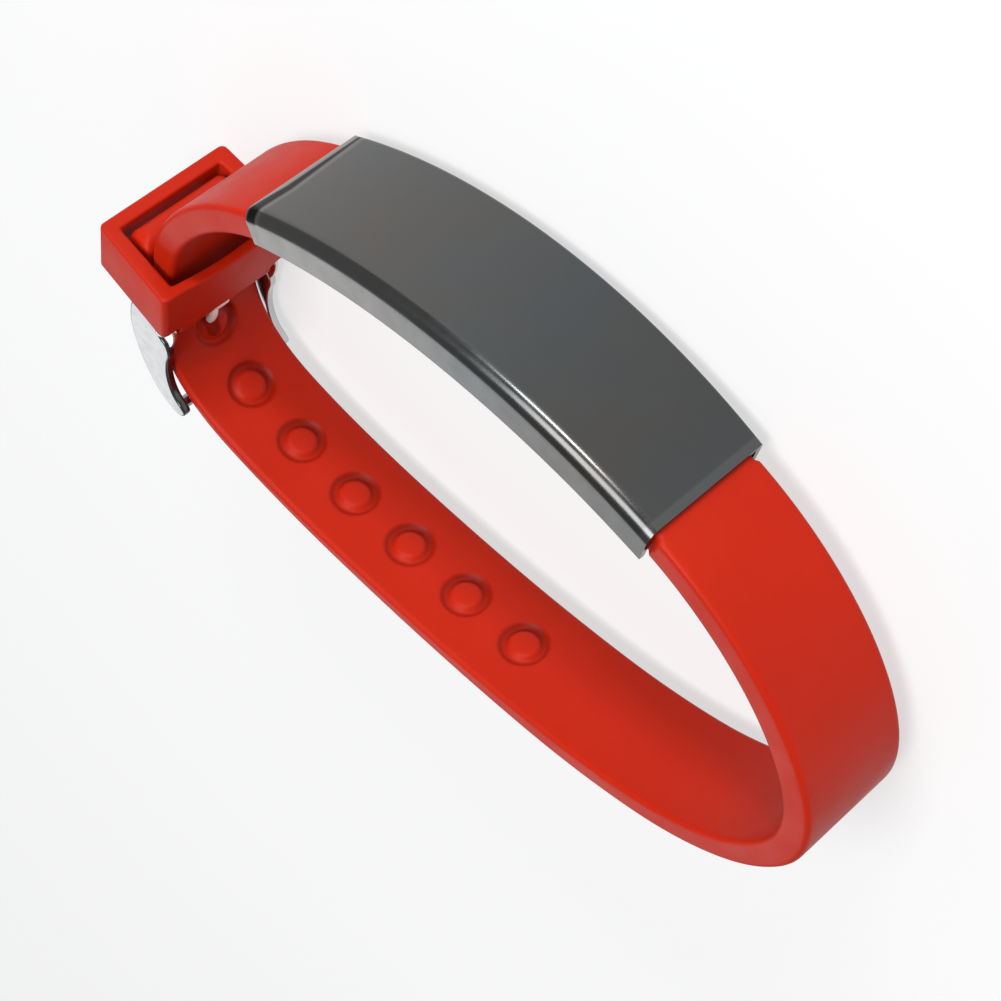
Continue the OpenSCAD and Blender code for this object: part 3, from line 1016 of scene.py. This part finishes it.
# %% Silicone
red, nodes, links, shader, place = new_finish("red_silicone_finish")
tone = noise(nodes, links, place, 60.0, 5.0)
reds = ramp(
    nodes, links, tone, [(0.3, (0.37, 0.0110, 0.0012)), (0.7, (0.41, 0.0130, 0.0018))]
)
toned(nodes, links, reds, shader)
links.new(
    grey_range(nodes, links, noise(nodes, links, place, 220.0), 0.40, 0.50),
    shader.inputs["Roughness"],
)
shader.inputs["Specular IOR Level"].default_value = 0.12
shader.inputs["Subsurface Weight"].default_value = 0.12
shader.inputs["Subsurface Radius"].default_value = (1.0, 0.25, 0.12)
shader.inputs["Subsurface Scale"].default_value = 0.0012
grain(nodes, links, place, shader, [(900.0, 0.10, 0.00004), (5200.0, 0.12, 0.00002)])
dress((band, keeper), red)

# %% [markdown]
# The three metals differ in colour, in how much of them acts as a mirror and in how rough
# that mirror is. The same few nodes make each of them: a tint that drifts from place to
# place, a roughness that wanders between two values, and a grain too fine to see singly.


# %% Dark plated steel
def steel(name, tint, stops, metallic, gloss, rough, grain_scale):
    """Finish with a drifting tint, a noise of (scale, detail) through colour stops, and a
    roughness between the two values of rough."""
    finish, nodes, links, shader, place = new_finish(name)
    colour = ramp(nodes, links, noise(nodes, links, place, *tint), stops)
    toned(nodes, links, colour, shader)
    shader.inputs["Metallic"].default_value = metallic
    wander = grey_range(nodes, links, noise(nodes, links, place, gloss), *rough)
    links.new(wander, shader.inputs["Roughness"])
    grain(nodes, links, place, shader, [(grain_scale, 0.05, 0.00001)])
    return finish


DARK = [(0.35, (0.105, 0.115, 0.120)), (0.65, (0.118, 0.112, 0.106))]
dark = steel("dark_steel_finish", (45.0, 3.0), DARK, 1.0, 500.0, (0.20, 0.27), 2500.0)
dress((plate,), dark)
print("plate finish", dark.name)

# %% [markdown]
# The polished arms mirror what is next to them. An edge of the near arm mirrors the dark
# inside of the loop, and an edge of the far arm the white floor, so the edges get a painted
# reflection of their own, as the plate's did: dark on the near arm, pale on the far one. The
# flat faces of the arms and the cross bar get painted shade, and the lugs a little of it.

# %% Polished steel
BRIGHT = [(0.35, (0.62, 0.64, 0.66)), (0.65, (0.70, 0.71, 0.72))]
bright = steel("polished_steel_finish", (300.0, 3.0), BRIGHT, 1.0, 1200.0, (0.14, 0.24), 4000.0)
rows_of_arm = np.arange(len(arms[0].data.vertices)) // len(arm_line)
flat_face = (rows_of_arm == 0) | (rows_of_arm == 2 * ARM_RINGS - 1)
# Painted reflections on the arms' edges, dark on the near arm and pale on the far one, and
# painted shade on their flat faces.
for arm, painted_edge_reflection in zip(arms, (0.15, 0.8), strict=True):
    paint(arm, np.where(flat_face, 0.44, painted_edge_reflection))
# Painted shade on the lugs and the cross bar; the spring bar keeps its steel's colour.
for piece, value in ((lugs[0], 0.9), (lugs[1], 0.9), (cross_bar, 0.42), (spring_bar, 1.0)):
    paint(piece, value)
dress((*arms, *lugs, cross_bar, spring_bar), bright)
print("points on the arms' flat faces", 2 * int(flat_face.sum()))

# %% [markdown]
# The tongue is a bent wire, drawn rather than polished. In the photo it shows as two pale
# spots under the keeper, so its skin takes the lamps' light from many directions. A steel
# with less metal and more roughness does the same here.
# Its colour is painted a fifth lighter as well, as painted light.

# %% Satin steel
SATIN = [(0.35, (0.72, 0.72, 0.71)), (0.65, (0.80, 0.79, 0.78))]
satin = steel("satin_steel_finish", (400.0, 3.0), SATIN, 0.35, 1200.0, (0.34, 0.44), 4000.0)
# Painted light: the tongue's colour is raised by a fifth.
paint(shank, 1.2)
dress((shank,), satin)
print("tongue finish", satin.name)

# %% [markdown]
# ## Floor and light
#
# The bracelet lies on a white sweep that is lit from below as well, like a product table,
# so that it stays nearly white and takes little of the silicone's red. A large lamp high
# in front reaches over the plate into the loop, and a low softbox in front draws the long
# glint on the plate's edge. A card of light behind the loop shows as the pale streak in
# the plate's side, and an even grey surround fills what the lamps don't reach.

# %% Floor
span = 3.0
floor_corners = [(-span, -span, 0), (span, -span, 0), (span, span, 0), (-span, span, 0)]
floor_mesh = bpy.data.meshes.new("floor")
floor_mesh.from_pydata(floor_corners, [], [(0, 1, 2, 3)])
floor = bpy.data.objects.new("floor", floor_mesh)
bpy.context.scene.collection.objects.link(floor)
white, nodes, links, shader, place = new_finish("floor_finish")
shader.inputs["Roughness"].default_value = 0.9
shader.inputs["Specular IOR Level"].default_value = 0.1
whites = [(0.3, (0.29, 0.29, 0.29)), (0.7, (0.31, 0.31, 0.31))]
patchy = ramp(nodes, links, noise(nodes, links, place, 3.0), whites)
links.new(patchy, shader.inputs["Base Color"])
shader.inputs["Emission Color"].default_value = (1.0, 1.0, 1.0, 1.0)
shader.inputs["Emission Strength"].default_value = 0.59
floor_mesh.materials.append(white)


# %% Lamps
def softbox(name, place, aim, wide, high, watts):
    """A rectangular lamp of wide by high metres at place, turned to aim."""
    lamp = bpy.data.lights.new(name, "AREA")
    lamp.shape, lamp.size, lamp.size_y = "RECTANGLE", wide, high
    lamp.energy = watts
    holder = bpy.data.objects.new(name, lamp)
    holder.matrix_world = aim_matrix(Vector(place), Vector(aim))
    bpy.context.scene.collection.objects.link(holder)
    print("lamp", name, watts, "W")


softbox("overhead", (-0.10, -0.46, 0.76), (0, 0, 0), 0.6, 0.5, 7.9)
softbox("front", (-0.02, -0.80, 0.17), (0, 0, 0.01), 0.30, 0.10, 3.8)
softbox("back_card", (0.36, 0.69, 0.36), (0, 0, 0.0), 0.6, 0.3, 1.0)

world = bpy.data.worlds.new("studio")
bpy.context.scene.world = world
world.use_nodes = True
surround = world.node_tree.nodes["Background"]
surround.inputs["Color"].default_value = (0.95, 0.97, 1.0, 1.0)
surround.inputs["Strength"].default_value = 0.36
bpy.context.scene.view_settings.view_transform = "Standard"

# %% Last update
bpy.context.view_layer.update()
